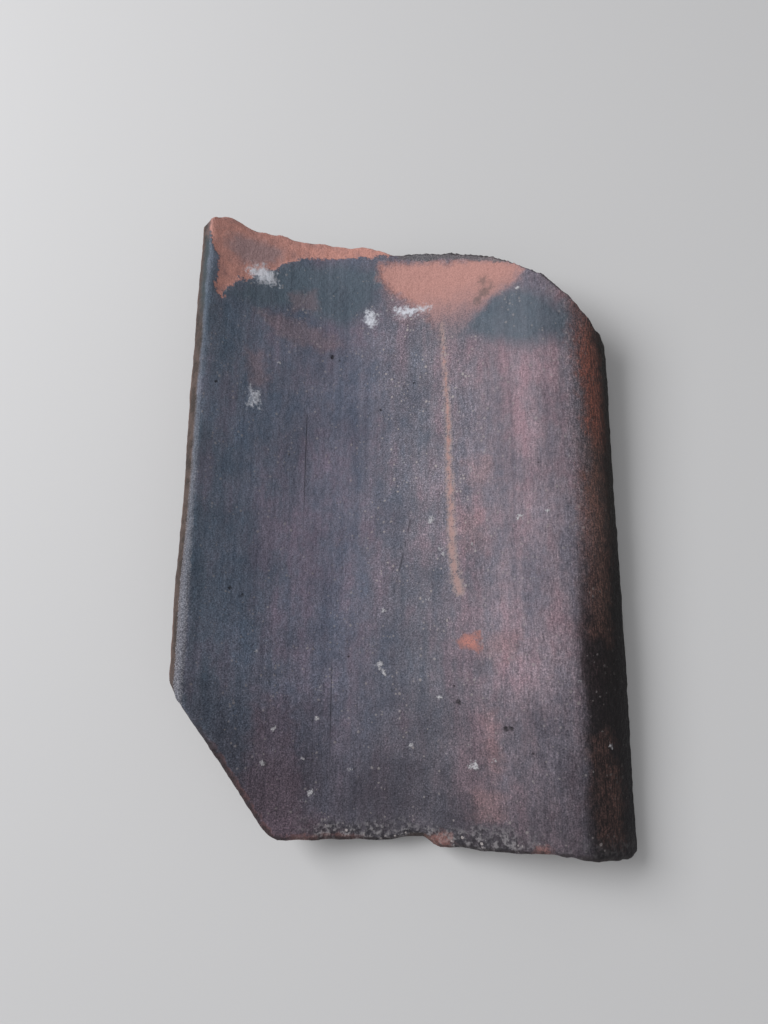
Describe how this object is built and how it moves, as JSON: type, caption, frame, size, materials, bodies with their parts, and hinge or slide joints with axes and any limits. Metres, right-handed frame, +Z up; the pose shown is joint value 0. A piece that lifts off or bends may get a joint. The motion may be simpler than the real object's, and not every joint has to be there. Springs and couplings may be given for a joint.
{
  "type": "clay roof pantile",
  "caption": "Single-lap clay pantile of S-shaped section: a wide pan, a round roll, an upturned edge, mitred corners and a nib under the head; dark, weathered and chipped.",
  "frame": {"origin": "on the floor, under the centre of the bounding box of the tile as it rests unheld", "axes": "+Y along the tile from tail to head, +X across it from the upturned edge to the roll, +Z up; at rest the tile is rolled about 14 degrees towards its roll and its head is raised about 2 degrees by the nib"},
  "size_m": [0.2268, 0.3436, 0.0761],
  "materials": {
    "fired_clay": "matt weathered fired clay"
  },
  "bodies": {
    "root": {"tile": "fired_clay"}
  },
  "joints": []
}
